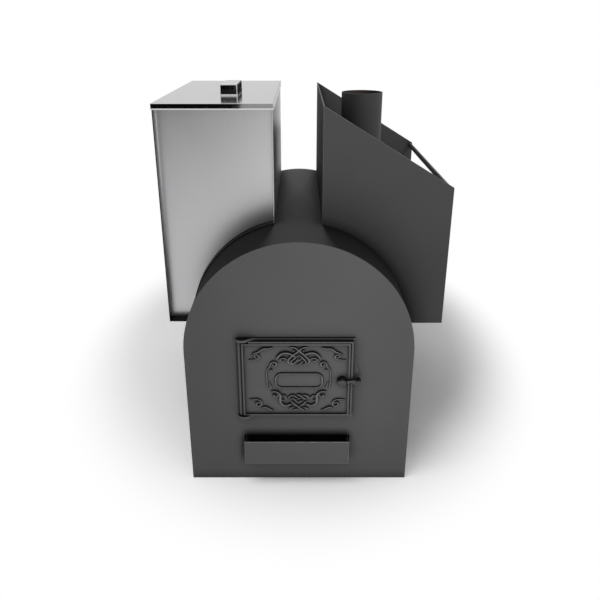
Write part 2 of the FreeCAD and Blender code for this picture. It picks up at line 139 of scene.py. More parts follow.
def box_distance(tree: Tree, middle: Spot, half: Spot, pull: Spot = (1.0, 1.0, 1.0)) -> Socket:
    """Distance from an upright box, in metres.

    Args:
        tree: Node tree that takes the nodes.
        middle: Centre of the box.
        half: Half of its size.
        pull: How much each direction counts.

    Returns:
        The socket that carries the distance.
    """
    found = add(tree, "TexCoord").outputs["Object"]
    for operation, other in (
        ("SUBTRACT", middle),
        ("ABSOLUTE", NOUGHT),
        ("SUBTRACT", half),
        ("MAXIMUM", NOUGHT),
        ("MULTIPLY", pull),
    ):
        step = add(tree, "VectorMath", {"operation": operation, 1: other}, {0: found})
        found = step.outputs["Vector"]
    return add(tree, "VectorMath", {"operation": "LENGTH"}, {0: found}).outputs["Value"]


@dataclass(frozen=True)
class Finish:
    """Look of a surface, kept as a material of the same name."""

    name: str

    def surface(self, tree: Tree) -> Socket:
        """Builds the finish's nodes.

        Args:
            tree: Empty node tree of the material.

        Returns:
            The shader's socket.
        """
        raise NotImplementedError

    def material(self) -> bpy.types.Material:
        """Returns the finish's material, made on first use."""
        found = bpy.data.materials.get(self.name)
        if found is None:
            found, tree = blank_material(self.name)
            add(tree, "OutputMaterial", links={"Surface": self.surface(tree)})
        return found


@dataclass(frozen=True)
class Coating(Finish):
    """Opaque dull coat: sprayed heat paint, painted sand casting or baked-on soot.

    The coat drifts between two close tones, carries a fine grit that breaks up the light
    and is rubbed thin along the edges that are marked as worn. It carries painted shade too:
    it darkens in creases and corners, on upward faces and in and round a given box.
    """

    coat: str
    shade: str
    rubbed: str
    shade_and_soot: str
    grit_mm: float
    cloud_mm: float
    relief_mm: float
    roughness: float
    sheen_level: float
    wear_and_painted_light: float
    # Painted shade read from ambient occlusion, at a wide and a close reach: the share of dark
    # tone, full up to shut and none from clear.
    hollow_mm: float = 150.0
    hollow: float = 0.72
    nook_mm: float = 22.0
    nook: float = 0.60
    shut: float = 0.50
    clear: float = 0.97
    # Painted shade on faces that look upwards.
    upward_shade: float = 0.0
    upward_shade_tilt: Plane = (0.05, 0.40)
    # Painted shade in and round a box, fading outwards over its millimetres.
    box_shade: float = 1.0
    box_shade_mm: float = 0.0
    box_shade_middle: Spot = NOUGHT
    box_shade_half: Spot = NOUGHT
    patch_mm: float = 14.0
    patch_range: Plane = (0.30, 0.68)
    least_rub: float = 0.4
    rough_spread: float = 0.07
    tooth: float = 0.35

    def laid_shade_and_soot(self, tree: Tree, colour: Socket, share: Socket) -> Socket:
        """Lays the dark tone over the coat: painted shade, and soot where the finish is soot.

        Args:
            tree: Node tree of the coat.
            colour: Colour of the coat so far.
            share: How much of it is dark tone.

        Returns:
            The darkened colour.
        """
        settings = {"data_type": "RGBA", 7: linear(self.shade_and_soot)}
        return add(tree, "Mix", settings, {0: share, 6: colour}).outputs[2]

    def shaded_where_closed_in(self, tree: Tree, colour: Socket, reach_mm: float, amount: float) -> Socket:
        """Paints shade where the surface is closed in, read from ambient occlusion; on the soot
        and burnt finishes it also stands for soot in the hollows.

        Args:
            tree: Node tree of the coat.
            colour: Colour of the coat so far.
            reach_mm: How near another surface has to be.
            amount: Share of painted shade in the deepest corner.

        Returns:
            The shaded colour.
        """
        # Painted shade: ambient occlusion darkens the coat's colour itself.
        occlusion = add(tree, "AmbientOcclusion", {"samples": 8, "Distance": reach_mm * MM})
        painted_shade = add(
            tree, "MapRange",
            {"From Min": self.shut, "From Max": self.clear, "To Min": amount, "To Max": 0.0},
            {"Value": occlusion.outputs["AO"]},
        )
        return self.laid_shade_and_soot(tree, colour, painted_shade.outputs["Result"])

    def shaded_upward_faces(self, tree: Tree, colour: Socket) -> Socket:
        """Paints shade on faces that look upwards.

        Args:
            tree: Node tree of the coat.
            colour: Colour of the coat so far.

        Returns:
            The shaded colour.
        """
        # Painted shade: the more a face looks up, the darker its colour.
        low, high = self.upward_shade_tilt
        normal = add(tree, "NewGeometry").outputs["Normal"]
        painted_shade = add(
            tree, "MapRange",
            {
                "interpolation_type": "SMOOTHSTEP",
                "From Min": low, "From Max": high, "To Max": self.upward_shade,
            },
            {"Value": add(tree, "SeparateXYZ", links={"Vector": normal}).outputs["Z"]},
        )
        return self.laid_shade_and_soot(tree, colour, painted_shade.outputs["Result"])

    def shaded_round_box(self, tree: Tree, colour: Socket) -> Socket:
        """Paints shade in and round a box of the coat, fading outwards.

        Args:
            tree: Node tree of the coat.
            colour: Colour of the coat so far.

        Returns:
            The shaded colour.
        """
        # Painted shade: darkest inside the box, fading out over the given millimetres.
        spots = (self.box_shade_middle, self.box_shade_half)
        middle, half = (tuple(part * MM for part in spot) for spot in spots)
        box_shade_share = add(
            tree, "MapRange",
            {
                "interpolation_type": "SMOOTHSTEP",
                "From Max": self.box_shade_mm * MM, "To Min": self.box_shade, "To Max": 0.0,
            },
            {"Value": box_distance(tree, middle, half)},
        )
        return self.laid_shade_and_soot(tree, colour, box_shade_share.outputs["Result"])

    def surface(self, tree: Tree) -> Socket:
        """Builds the coat's nodes.

        Args:
            tree: Empty node tree of the material.

        Returns:
            The shader's socket.
        """
        place = add(tree, "TexCoord").outputs["Object"]
        clouds, grit, patches = (
            add(tree, "TexNoise", {"Scale": per_mm(size), "Detail": detail}, {"Vector": place})
            for size, detail in ((self.cloud_mm, 3.0), (self.grit_mm, 2.0), (self.patch_mm, 4.0))
        )
        tone = add(
            tree, "Mix",
            {"data_type": "RGBA", 6: linear(self.coat), 7: linear(self.shade)},
            {0: clouds.outputs["Fac"]},
        )
        low, high = self.patch_range
        rub = add(
            tree, "MapRange",
            {
                "From Min": low, "From Max": high,
                "To Min": self.wear_and_painted_light * self.least_rub, "To Max": self.wear_and_painted_light,
            },
            {"Value": patches.outputs["Fac"]},
        )
        edge = add(tree, "Attribute", {"attribute_name": WEAR_AND_PAINTED_LIGHT})
        worn = add(
            tree, "Math", {"operation": "MULTIPLY"},
            {0: edge.outputs["Fac"], 1: rub.outputs["Result"]},
        )
        bare = add(
            tree, "Mix",
            {"data_type": "RGBA", 7: linear(self.rubbed)},
            {0: worn.outputs["Value"], 6: tone.outputs[2]},
        )
        # Painted shade: closed-in places, upward faces and the shade box darken the colour itself.
        colour = self.shaded_where_closed_in(tree, bare.outputs[2], self.hollow_mm, self.hollow)
        colour = self.shaded_where_closed_in(tree, colour, self.nook_mm, self.nook)
        if self.upward_shade:
            colour = self.shaded_upward_faces(tree, colour)
        if self.box_shade_mm:
            colour = self.shaded_round_box(tree, colour)
        rough = add(
            tree, "MapRange",
            {
                "To Min": self.roughness - self.rough_spread,
                "To Max": self.roughness + self.rough_spread,
            },
            {"Value": grit.outputs["Fac"]},
        )
        bump = add(
            tree, "Bump",
            {"Strength": self.tooth, "Distance": self.relief_mm * MM},
            {"Height": grit.outputs["Fac"]},
        )
        return add(
            tree, "BsdfPrincipled",
            {"Specular IOR Level": self.sheen_level},
            {
                "Base Color": colour,
                "Roughness": rough.outputs["Result"],
                "Normal": bump.outputs["Normal"],
            },
        ).outputs["BSDF"]


@dataclass(frozen=True)
class RolledMetal(Finish):
    """Bare metal sheet: cold-rolled, bright-annealed or plated.

    Faint rolling lines run along one axis, slow clouds of handling change the gloss,
    and edges marked as worn take their own tone, which on the satin sheets is a near-black
    painted dark reflection.
    """

    light: str
    dark: str
    edge_tone: str
    line_mm: float
    run_mm: float
    cloud_mm: float
    relief_mm: float
    roughness: float
    spread: float
    line_share: float = 0.5
    gloss_range: Plane = (0.25, 0.75)
    tooth: float = 0.25

    def surface(self, tree: Tree) -> Socket:
        """Builds the metal's nodes.

        Args:
            tree: Empty node tree of the material.

        Returns:
            The shader's socket.
        """
        place = add(tree, "TexCoord").outputs["Object"]
        squeeze = (1.0, 1.0, self.line_mm / self.run_mm)
        along = add(tree, "Mapping", {"Scale": squeeze}, {"Vector": place}).outputs["Vector"]
        lines, clouds = (
            add(tree, "TexNoise", {"Scale": per_mm(size), "Detail": 3.0}, {"Vector": where})
            for size, where in ((self.line_mm, along), (self.cloud_mm, place))
        )
        slow = add(
            tree, "Math", {"operation": "MULTIPLY", 1: 1.0 - self.line_share},
            {0: clouds.outputs["Fac"]},
        )
        grain = add(
            tree, "Math", {"operation": "MULTIPLY_ADD", 1: self.line_share},
            {0: lines.outputs["Fac"], 2: slow.outputs["Value"]},
        )
        sheet = add(
            tree, "Mix",
            {"data_type": "RGBA", 6: linear(self.dark), 7: linear(self.light)},
            {0: grain.outputs["Value"]},
        )
        # Marked faces take the edge tone: on the satin sheets a painted dark reflection.
        edge = add(tree, "Attribute", {"attribute_name": WEAR_AND_PAINTED_LIGHT})
        colour = add(
            tree, "Mix",
            {"data_type": "RGBA", 7: linear(self.edge_tone)},
            {0: edge.outputs["Fac"], 6: sheet.outputs[2]},
        )
        low, high = self.gloss_range
        rough = add(
            tree, "MapRange",
            {
                "From Min": low, "From Max": high,
                "To Min": self.roughness - self.spread, "To Max": self.roughness + self.spread,
            },
            {"Value": grain.outputs["Value"]},
        )
        bump = add(
            tree, "Bump",
            {"Strength": self.tooth, "Distance": self.relief_mm * MM},
            {"Height": lines.outputs["Fac"]},
        )
        return add(
            tree, "BsdfPrincipled",
            {"Metallic": 1.0},
            {
                "Base Color": colour.outputs[2],
                "Roughness": rough.outputs["Result"],
                "Normal": bump.outputs["Normal"],
            },
        ).outputs["BSDF"]


# Heat paint sprayed on rolled sheet: dry graphite grey, fine powdery tooth, paler cut edges,
# and painted shade in creases and corners.
# The real tooth is finer than a millimetre and is drawn coarser here, so that it shows.
HEAT_PAINT = Coating(
    "silicone_heat_paint_on_sheet", "#525152", "#4b4a4b", "#8d8c8b", "#121112",
    grit_mm=1.1, cloud_mm=180.0, relief_mm=0.10, roughness=0.60, sheen_level=0.15, wear_and_painted_light=0.75,
    hollow_mm=60.0, hollow=0.10, nook_mm=32.0, nook=0.66,
)
# Paint on the front plate with painted shade: black just above the ash drawer's slot, fading
# upwards.
FRONT_PAINT = replace(
    HEAT_PAINT, name="silicone_heat_paint_front_shaded", nook=0.42,
    box_shade_mm=26.0, box_shade_middle=(-5.5, -410.0, 134.0), box_shade_half=(126.0, 30.0, 4.0),
)
# Paint over the fire, deader, with painted shade: darkened from the shoulders up, and darker
# along the tank and the hopper.
ROOF_PAINT = replace(
    HEAT_PAINT, name="silicone_heat_paint_roof_shaded", rubbed="#525151",
    roughness=0.70, sheen_level=0.06, hollow_mm=90.0, hollow=0.50, nook_mm=30.0, nook=0.60,
    box_shade=0.78, box_shade_mm=100.0, box_shade_middle=(0.0, 0.0, 700.0), box_shade_half=(400.0, 500.0, 230.0),
)
# Paint on the hopper: chalked by heat and steam, with painted shade where it faces other sheets.
HOPPER_PAINT = replace(
    HEAT_PAINT, name="silicone_heat_paint_chalked", roughness=0.72, sheen_level=0.05,
    hollow_mm=240.0, hollow=0.58, nook_mm=30.0, nook=0.60,
)
# The same paint on sand-cast iron: the mould's sand shows as a coarser tooth, and relief is
# rubbed paler on its front-facing crests, partly a painted highlight; painted shade blackens
# its creases and its upward faces.
CAST_PAINT = Coating(
    "heat_paint_on_sand_cast_iron", "#565556", "#4d4d4d", "#858484", "#070607",
    grit_mm=1.6, cloud_mm=60.0, relief_mm=0.22, roughness=0.62, sheen_level=0.14, wear_and_painted_light=0.55,
    hollow_mm=60.0, hollow=0.30, nook_mm=20.0, nook=0.62, shut=0.55, clear=0.98, upward_shade=1.0,
)
# The latch: the same paint a little darker, without rubbed edges, and with the same painted shade.
HANDLED_PAINT = replace(
    CAST_PAINT, name="heat_paint_on_cast_latch", coat="#4b4a4b", shade="#424142", wear_and_painted_light=0.10
)
# Soot baked on bare firebox steel: brown-black and dead matt, with dry ash-grey drifts and
# painted shade in its creases and corners.
SOOT = Coating(
    "baked_soot_on_steel", "#1d1b1a", "#33302d", "#4a4744", "#0c0b0b",
    grit_mm=2.4, cloud_mm=70.0, relief_mm=0.35, roughness=0.90, sheen_level=0.15, wear_and_painted_light=0.35,
)
# Thin brown soot in the flue's bore: paler, since hot gas keeps the bore swept.
FLUE_SOOT = replace(
    SOOT, name="thin_soot_on_flue_bore", coat="#5d5653", shade="#504a47", rubbed="#6d6864",
    hollow=0.10, nook=0.20,
)
# Cast-iron grate burnt clean: grey oxide scale with soot and painted shade in the hollows.
BURNT_IRON = Coating(
    "burnt_grey_cast_iron", "#3a3836", "#282625", "#5d5955", "#0f0e0e",
    grit_mm=2.0, cloud_mm=35.0, relief_mm=0.30, roughness=0.82, sheen_level=0.25, wear_and_painted_light=0.55,
)
# Cold-rolled stainless sheet with the mill's satin skin: soft mirror, hair-fine lines up the sheet;
# its marked edges are near-black, a painted dark reflection.
# The real lines are a few tenths of a millimetre wide and are drawn coarser, so that they show.
SATIN_STAINLESS = RolledMetal(
    "stainless_cold_rolled_satin", "#c3c3c4", "#b2b2b4", "#0d0d0e", line_mm=1.6, run_mm=140.0,
    cloud_mm=220.0, relief_mm=0.012, roughness=0.33, spread=0.03,
)
# Bright-annealed stainless for the lid: near mirror with a breath of haze.
BRIGHT_STAINLESS = RolledMetal(
    "stainless_bright_annealed", "#d0d0d1", "#c6c6c8", "#a8a8aa", line_mm=1.2, run_mm=90.0,
    cloud_mm=160.0, relief_mm=0.0008, roughness=0.045, spread=0.012,
)
# Turned and zinc-plated steel fasteners: bluish grey, semi-bright.
PLATED_STEEL = RolledMetal(
    "zinc_plated_turned_steel", "#a4a6aa", "#8b8d92", "#b9bbbf", line_mm=0.8, run_mm=6.0,
    cloud_mm=12.0, relief_mm=0.03, roughness=0.36, spread=0.06,
)
# The lid's top, wiped and handled: a deeper haze, so that the grip's reflection fades.
HAZED_STAINLESS = replace(
    BRIGHT_STAINLESS, name="stainless_bright_annealed_hazed", roughness=0.15
)
# The tank's panels: the smoothest sheets; all their rounded edges keep the near-black tone,
# a painted dark reflection.
PANEL_STAINLESS = replace(
    SATIN_STAINLESS, name="stainless_cold_rolled_panel", relief_mm=0.007, roughness=0.32
)
# The tank's inner wall and seams: the same sheet with clean bright edges.
TRIM_STAINLESS = replace(PANEL_STAINLESS, name="stainless_cold_rolled_trim", edge_tone="#b8b8ba")
# Stainless that lies on the hot arch: oxidised to a dark bronze grey, and kept near-black
# as a painted shade along the tank's foot.
TINTED_AND_SHADED_STAINLESS = RolledMetal(
    "stainless_heat_tinted_and_shaded", "#1f1e20", "#151415", "#1a191a", line_mm=1.6, run_mm=140.0,
    cloud_mm=60.0, relief_mm=0.012, roughness=0.50, spread=0.05,
)


def shown(name: str, data: bpy.types.ID) -> Piece:
    """Links a new object to the scene.

    Args:
        name: Name of the object.
        data: Mesh, curve, lamp or camera that it carries.

    Returns:
        The object, at the origin.
    """
    made = bpy.data.objects.new(name, data)
    bpy.context.scene.collection.objects.link(made)
    return made


def mesh_data(work: Mesh, name: str) -> bpy.types.Mesh:
    """Turns a worked mesh into mesh data.

    Args:
        work: The shaped mesh, freed here.
        name: Name of the data.

    Returns:
        The mesh data.
    """
    mesh = bpy.data.meshes.new(name)
    work.to_mesh(mesh)
    work.free()
    return mesh


def upright_sheet(low: Plane, high: Plane, depth: float) -> Mesh:
    """Makes a flat sheet that stands across the view and faces the front.

    Args:
        low: Its left lower corner, as X and Z in metres.
        high: Its right upper corner.
        depth: Where it stands along Y.

    Returns:
        The sheet of one face.
    """
    (left, foot), (right, top) = low, high
    place = Matrix.Translation(((left + right) / 2, depth, (foot + top) / 2))
    grown = Matrix.Diagonal((right - left, 1.0, top - foot, 1.0))
    turn = Matrix.Rotation(math.radians(90.0), 4, "X")
    work = bmesh.new()
    bmesh.ops.create_grid(work, x_segments=1, y_segments=1, size=0.5, matrix=place @ grown @ turn)
    return work


def merged_copy(node: str) -> Mesh:
    """Copies a CAD node's mesh with its triangles joined into whole faces.

    Args:
        node: Name of the CAD node.

    Returns:
        The copy, ready for shaping.
    """
    work = bmesh.new()
    work.from_mesh(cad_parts[node].data)
    bmesh.ops.remove_doubles(work, verts=work.verts, dist=WELD)
    bmesh.ops.dissolve_limit(work, angle_limit=FLAT, verts=work.verts, edges=work.edges)
    return work


def rounded(
    work: Mesh, geom: Sequence[object], width_mm: float, steps: int, corners: bool = False
) -> list[bmesh.types.BMFace]:
    """Rounds edges or corners of a mesh.

    Args:
        work: Mesh to round.
        geom: Its edges or corners to round.
        width_mm: Width of the rounding.
        steps: Faces across the rounding.
        corners: Whether the corners of a flat sheet are meant.

    Returns:
        The new faces.
    """
    return bmesh.ops.bevel(
        work, geom=geom, offset=width_mm * MM, offset_type="OFFSET", segments=steps, profile=0.5,
        affect="VERTICES" if corners else "EDGES", clamp_overlap=True, material=-1,
    )["faces"]


def soften(work: Mesh, edge_mm: float, steps: int = 2, narrow_mm: float = 0.0) -> None:
    """Rounds every sharp edge and marks the new faces for the edge tone (wear, and painted light on
    some finishes).

    Args:
        work: Mesh to round.
        edge_mm: Width of the rounding in millimetres.
        steps: Faces across the rounding.
        narrow_mm: Faces narrower than this are sheet edges and are marked too.
    """
    wear_and_painted_light = work.faces.layers.float.new(WEAR_AND_PAINTED_LIGHT)
    for face in work.faces:
        face[wear_and_painted_light] = float(2.0 * face.calc_area() < narrow_mm * MM * face.calc_perimeter())
    sharp = [e for e in work.edges if e.is_manifold and e.calc_face_angle() > SHARP]
    for face in rounded(work, sharp, edge_mm, steps):
        face[wear_and_painted_light] = 1.0


def finished_object(work: Mesh, name: str, crease_deg: float) -> Piece:
    """Turns a worked mesh into a smooth-shaded object at the origin.

    Args:
        work: The shaped mesh, freed here.
        name: Name of the piece.
        crease_deg: Bend from which an edge is shaded as a crease.

    Returns:
        The object, linked to the scene.
    """
    for face in work.faces:
        face.smooth = True
    mesh = mesh_data(work, name)
    stale = mesh.attributes.get("custom_normal")
    if stale:
        mesh.attributes.remove(stale)
    mesh.set_sharp_from_angle(angle=math.radians(crease_deg))
    piece = shown(name, mesh)
    piece.modifiers.new("flat faces stay flat", "WEIGHTED_NORMAL").keep_sharp = True
    return piece


def tubes(name: str, paths: Sequence[Sequence[tuple[Spot, float]]]) -> Mesh:
    """Makes smooth round lines along control points.

    Args:
        name: Name of the passing curve.
        paths: For each line its control points and radii, in millimetres.
            A line that ends where it starts is a ring.

    Returns:
        The closed tubes as one mesh.
    """
    line = bpy.data.curves.new(name, "CURVE")
    line.dimensions = "3D"
    line.bevel_depth = MM
    line.bevel_resolution = 2
    line.resolution_u = 5
    line.use_fill_caps = True
    for path in paths:
        ring = path[0] == path[-1]
        spline = line.splines.new("NURBS")
        spline.points.add(len(path) - 1 - ring)
        for point, (spot, radius) in zip(spline.points, path):
            point.co = (*(Vector(spot) * MM), 1.0)
            point.radius = radius
        spline.order_u = 3
        spline.use_cyclic_u = ring
        spline.use_endpoint_u = not ring
    holder = shown(name, line)
    bpy.context.view_layer.update()
    drawn = holder.evaluated_get(bpy.context.evaluated_depsgraph_get())
    shape = bpy.data.meshes.new_from_object(drawn)
    bpy.data.objects.remove(holder)
    work = bmesh.new()
    work.from_mesh(shape)
    bmesh.ops.remove_doubles(work, verts=work.verts, dist=WELD)
    bmesh.ops.recalc_face_normals(work, faces=work.faces)
    return work


@dataclass
class SubAssembly:
    """Pieces that belong together; each method call dresses one of them."""

    body: str

    def placed(
        self,
        work: Mesh,
        name: str,
        slot: Slot,
        finishes: Sequence[Finish],
        *nodes: str,
        crease_deg: float = CREASE_DEG,
    ) -> Piece:
        """Turns a worked mesh into a finished piece in its place.

        Args:
            work: The shaped mesh, freed here.
            name: Name of the piece.
            slot: Slot of the record that the finish belongs to; not used.
            finishes: Finishes by the faces' material numbers.
            nodes: CAD nodes that the piece replaces.
            crease_deg: Bend from which an edge is shaded as a crease.

        Returns:
            The placed piece.
        """
        piece = finished_object(work, name, crease_deg)
        for finish in finishes:
            piece.data.materials.append(finish.material())
        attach(piece, self.body)
        if nodes:
            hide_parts(*nodes)
        return piece

    def dressed(
        self,
        node: str,
        finish: Finish,
        slot: Slot,
        edge_mm: float,
        steps: int = 2,
        narrow_mm: float = 0.0,
        inner: Finish | None = None,
        hub: Hub | None = None,
    ) -> Piece:
        """Makes the rounded, finished copy that stands for a CAD node.

        Args:
            node: CAD node to copy.
            finish: Finish of the outside.
            slot: Slot of the record.
            edge_mm: Width of the edge rounding.
            steps: Faces across the rounding.
            narrow_mm: Width up to which a face is a sheet edge.
            inner: Finish of the faces that look towards the hub.
            hub: Gives the point that a face's centre looks towards.

        Returns:
            The placed piece.
        """
        work = merged_copy(node)
        soften(work, edge_mm, steps, narrow_mm)
        if inner and hub:
            for face in work.faces:
                centre = face.calc_center_median()
                face.material_index = int((hub(centre) - centre).dot(face.normal) > 0)
        finishes = [finish, inner] if inner else [finish]
        return self.placed(work, f"{node}_finished", slot, finishes, node)

    def kept(self, node: str, finish: Finish) -> Piece:
        """Keeps a CAD node's own mesh and gives it a finish.

        Args:
            node: CAD node whose shape is right.
            finish: Finish for all its slots.

        Returns:
            The node's object.
        """
        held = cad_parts[node]
        for holder in held.material_slots:
            holder.material = finish.material()
        return held


@dataclass
class Firebox(SubAssembly):
    """Arched welded shell with its ash floor, grate and flame baffle."""

    sheet_edge_mm: float = 0.8
    grate_edge_mm: float = 1.2
    axis_height_mm: float = 330.0

    def centre(self, _at: Vector) -> Vector:
        """Middle of the fire space, which the inner faces look towards."""
        return Vector((0.0, 0.0, self.axis_height_mm * MM))

    def level(self, at: Vector) -> Vector:
        """Point on the long axis beside a face, for walls that run front to back."""
        return Vector((0.0, at.y, self.axis_height_mm * MM))

    def build(self) -> Iterator[Piece]:
        """Yields the shell and then what lies inside it."""
        edge = self.sheet_edge_mm
        for node, paint, hub in (
            ("side_plate_left", HEAT_PAINT, self.level),
            ("side_plate_right", HEAT_PAINT, self.level),
            ("arch_roof", ROOF_PAINT, self.level),
            ("front_plate", FRONT_PAINT, self.centre),
            ("back_plate", HEAT_PAINT, self.centre),
        ):
            yield self.dressed(node, paint, Slot.HEAT_PAINT, edge, inner=SOOT, hub=hub)
        yield self.dressed("base_plate", HEAT_PAINT, Slot.HEAT_PAINT, edge)
        yield self.dressed("grate", BURNT_IRON, Slot.CAST_IRON, self.grate_edge_mm)
        for node in ("grate_deck", "flame_baffle"):
            yield self.dressed(node, SOOT, Slot.HEAT_PAINT, edge)
        yield self.kept("ash_floor", SOOT)
        for pair in ("drawer_guide", "baffle_bar"):
            for side in ("left", "right"):
                yield self.kept(f"{pair}_{side}", SOOT)


@dataclass
class Flue(SubAssembly):
    """Flue pipe that rises through the stone hopper."""

    centre_x_mm: float = 178.0
    centre_y_mm: float = 81.0
    rim_edge_mm: float = 0.6

    def axis(self, at: Vector) -> Vector:
        """Point on the pipe's axis level with a face."""
        return Vector((self.centre_x_mm * MM, self.centre_y_mm * MM, at.z))

    def build(self) -> Iterator[Piece]:
        """Yields the painted pipe with its sooted bore."""
        yield self.dressed(
            "flue_pipe", HEAT_PAINT, Slot.HEAT_PAINT, self.rim_edge_mm,
            inner=FLUE_SOOT, hub=self.axis,
        )


@dataclass
class DoorFrame(SubAssembly):
    """Fixed half of the cast door set: frame, keeper, fasteners and hinge pin."""

    casting_edge_mm: float = 1.0
    fastener_edge_mm: float = 0.4
    pin_edge_mm: float = 0.6

    def build(self) -> Iterator[Piece]:
        """Yields the castings, the fasteners and the pin."""
        for node in ("door_frame", "latch_keeper"):
            yield self.dressed(node, CAST_PAINT, Slot.CAST_IRON, self.casting_edge_mm)
        for node in ("frame_studs", "frame_nuts"):
            yield self.dressed(node, PLATED_STEEL, Slot.BRIGHT_STEEL, self.fastener_edge_mm)
        yield self.dressed("hinge_pin", CAST_PAINT, Slot.BRIGHT_STEEL, self.pin_edge_mm)


@dataclass
class FireDoor(SubAssembly):
    """Swinging leaf with its heat shield."""

    casting_edge_mm: float = 1.0
    shield_edge_mm: float = 0.5
    rivet_edge_mm: float = 0.4

    def build(self) -> Iterator[Piece]:
        """Yields the leaf, the shield and its rivets."""
        yield self.dressed("fire_door", CAST_PAINT, Slot.CAST_IRON, self.casting_edge_mm)
        yield self.dressed("door_shield", SOOT, Slot.HEAT_PAINT, self.shield_edge_mm)
        yield self.dressed("shield_rivets", PLATED_STEEL, Slot.BRIGHT_STEEL, self.rivet_edge_mm)


@dataclass(frozen=True)
class Stroke:
    """One raised line of the relief: where it runs on the leaf and how thick it is."""

    points: tuple[Plane, ...]
    thick_mm: float = 3.0
    start: float = 0.55
    end: float = 0.8
    lift_mm: float = 0.0

    def mirrored(self, axis_mm: float) -> "Stroke":
        """Returns the same line on the other side of an upright axis."""
        points = tuple((2 * axis_mm - x, z) for x, z in self.points)
        return replace(self, points=points, lift_mm=-self.lift_mm)


def curl(
    centre: Plane, outer: float, inner: float, start_deg: float, turns: float, steps: int = 9
) -> tuple[Plane, ...]:
    """Control points of a scroll that winds inwards.

    Args:
        centre: Middle of the scroll on the leaf, in millimetres.
        outer: Radius where it starts.
        inner: Radius where it ends.
        start_deg: Angle where it starts, from +X towards +Z.
        turns: Turns of the scroll, negative for clockwise.
        steps: Number of points.

    Returns:
        Points from the outside in.
    """
    found = []
    for step in range(steps):
        share = step / (steps - 1)
        angle = math.radians(start_deg) + turns * math.tau * share
        reach = outer + (inner - outer) * share
        found.append((centre[0] + reach * math.cos(angle), centre[1] + reach * math.sin(angle)))
    return tuple(found)


